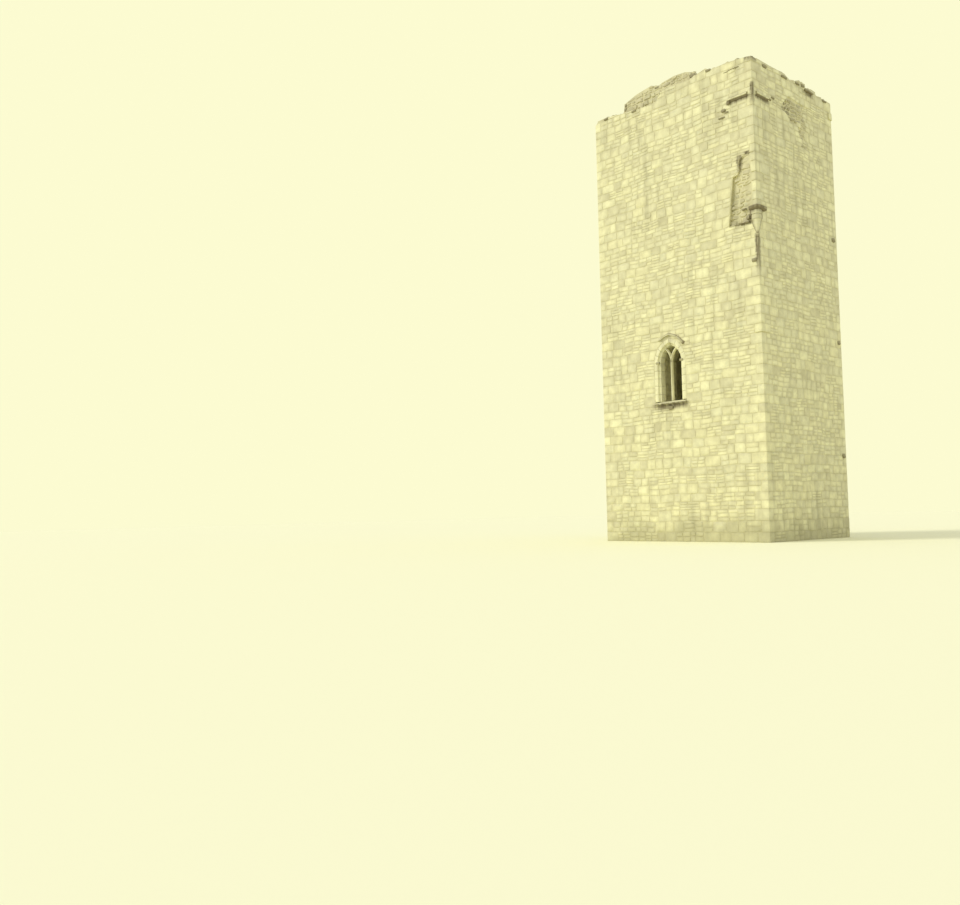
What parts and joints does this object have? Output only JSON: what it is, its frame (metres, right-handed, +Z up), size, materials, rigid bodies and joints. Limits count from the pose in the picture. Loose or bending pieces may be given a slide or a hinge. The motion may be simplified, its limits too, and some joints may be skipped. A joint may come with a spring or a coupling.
{
  "type": "ruined square castle keep",
  "caption": "Tall square roofless stone keep with a broken wall head, a pointed window with tracery in front and back, a round-arched doorway, a vaulted ground floor and a corner corbel.",
  "frame": {"origin": "middle of the tower's foot, on the surface it stands on", "axes": "+X to the right along the front wall, +Y from the front wall to the back wall, +Z up"},
  "size_m": [9.47, 7.67, 22.93],
  "materials": {
    "wall_stone": "rough",
    "dressed_stone": "rough",
    "rubble": "rough",
    "flagstone": "rough"
  },
  "bodies": {
    "root": {"front_wall_base": "wall_stone", "front_wall_left_of_window": "wall_stone", "front_wall_right_of_window": "wall_stone", "front_wall_over_window": "wall_stone", "front_wall_upper": "wall_stone", "front_wall_head": "wall_stone", "back_wall_base": "wall_stone", "back_wall_left_of_window": "wall_stone", "back_wall_right_of_window": "wall_stone", "back_wall_over_window": "wall_stone", "back_wall_upper": "wall_stone", "back_wall_head": "wall_stone", "right_wall_lower": "wall_stone", "right_wall_upper": "wall_stone", "right_wall_head": "wall_stone", "left_wall_beside_door_front": "wall_stone", "left_wall_beside_door_back": "wall_stone", "left_wall_over_door": "wall_stone", "left_wall_upper": "wall_stone", "left_wall_head": "wall_stone", "front_rubble_core": "rubble", "hall_vault": "rubble", "front_window_sill": "dressed_stone", "front_window_left_frame": "dressed_stone", "front_window_right_frame": "dressed_stone", "front_window_mullion": "dressed_stone", "front_window_tracery": "dressed_stone", "front_window_hood": "dressed_stone", "back_window_sill": "dressed_stone", "back_window_left_frame": "dressed_stone", "back_window_right_frame": "dressed_stone", "back_window_mullion": "dressed_stone", "back_window_tracery": "dressed_stone", "back_window_hood": "dressed_stone", "door_threshold": "dressed_stone", "door_front_frame": "dressed_stone", "door_back_frame": "dressed_stone", "corner_corbel_cap": "dressed_stone", "corner_corbel_pendant": "dressed_stone", "string_course_front": "dressed_stone", "string_course_right": "dressed_stone", "ground_floor": "flagstone", "hall_floor": "flagstone"}
  },
  "joints": []
}
